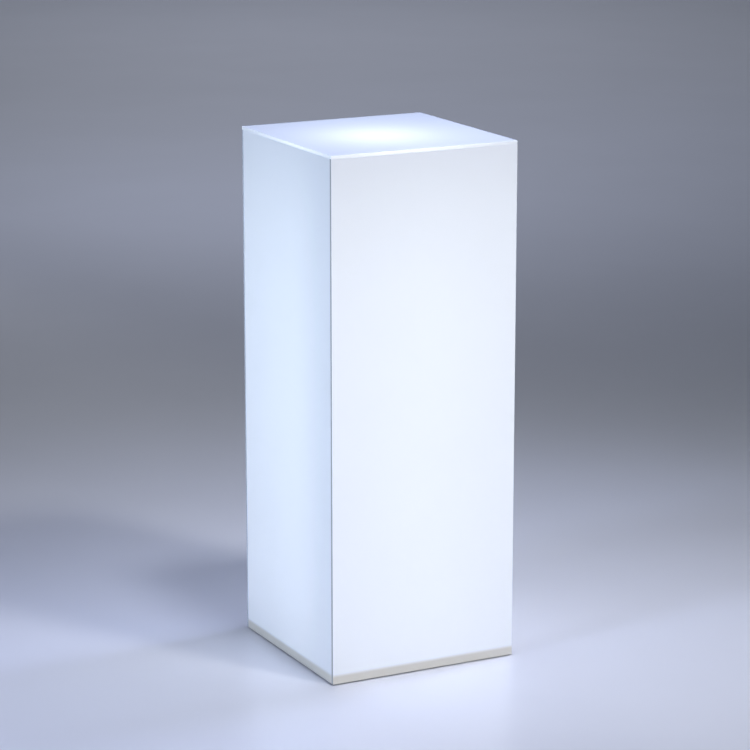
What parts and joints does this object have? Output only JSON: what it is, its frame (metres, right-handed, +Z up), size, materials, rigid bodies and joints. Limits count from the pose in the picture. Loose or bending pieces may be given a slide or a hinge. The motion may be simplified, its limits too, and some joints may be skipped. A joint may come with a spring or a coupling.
{
  "type": "illuminated pedestal",
  "caption": "Square illuminated pedestal: a closed opal acrylic cover standing over a base board and an aluminium column of light strips, with a rear inlet and rocker switch.",
  "frame": {"origin": "centre of the footprint, on the floor under the foot pads", "axes": "+X to the right along the front face, +Y to the back, where the cable notch is, +Z up"},
  "size_m": [0.292, 0.292, 0.762],
  "materials": {
    "opal_acrylic": "gloss",
    "laminated_board": "satin",
    "pad_felt": "matte",
    "cast_aluminium": "satin",
    "anodised_aluminium": "satin",
    "white_circuit_board": "satin",
    "light_chip": "gloss",
    "zinc_screw": "brushed",
    "black_steel_screw": "satin",
    "bracket_steel": "brushed",
    "black_plastic": "satin",
    "nickel_nut": "polished",
    "ivory_plastic": "satin",
    "brass_screw": "satin",
    "wire_jacket": "satin",
    "lead_jacket": "satin",
    "black_rubber": "matte",
    "white_nylon": "satin",
    "tinned_brass": "satin"
  },
  "bodies": {
    "base": {"base_board": "laminated_board", "foot_pads": "pad_felt", "column_foot": "cast_aluminium", "foot_screws": "zinc_screw", "grub_screws": "black_steel_screw", "light_column": "anodised_aluminium", "light_strip_front": "white_circuit_board", "light_strip_back": "white_circuit_board", "light_strip_left": "white_circuit_board", "light_strip_right": "white_circuit_board", "strip_chips": "light_chip", "crown_plate": "anodised_aluminium", "crown_screws": "zinc_screw", "disc_board": "white_circuit_board", "disc_chips": "light_chip", "disc_connector": "ivory_plastic", "inlet_bracket": "bracket_steel", "bracket_screws": "zinc_screw", "power_jack": "black_plastic", "jack_contacts": "tinned_brass", "jack_nut": "nickel_nut", "switch_body": "black_plastic", "switch_contacts": "tinned_brass", "terminal_block": "ivory_plastic", "terminal_screws": "brass_screw", "inlet_wires": "wire_jacket", "column_lead": "lead_jacket", "strip_wires": "wire_jacket", "splice_sleeve": "black_rubber", "lead_grommet": "black_rubber", "cable_clip": "white_nylon", "clip_screw": "zinc_screw"},
    "cover": {"top_panel": "opal_acrylic", "front_panel": "opal_acrylic", "back_panel": "opal_acrylic", "left_panel": "opal_acrylic", "right_panel": "opal_acrylic", "rest_blocks": "opal_acrylic"},
    "rocker": {"rocker": "black_plastic"}
  },
  "joints": [
    {"name": "cover_lift", "type": "slide", "parent": "base", "child": "cover", "axis": [0, 0, 1], "range_m": [0, 0.67]},
    {"name": "rocker_tilt", "type": "hinge", "parent": "base", "child": "rocker", "pos_m": [0.014, 0.14015, 0.0297], "axis": [0, 0, -1], "range_deg": [0, 20]}
  ]
}
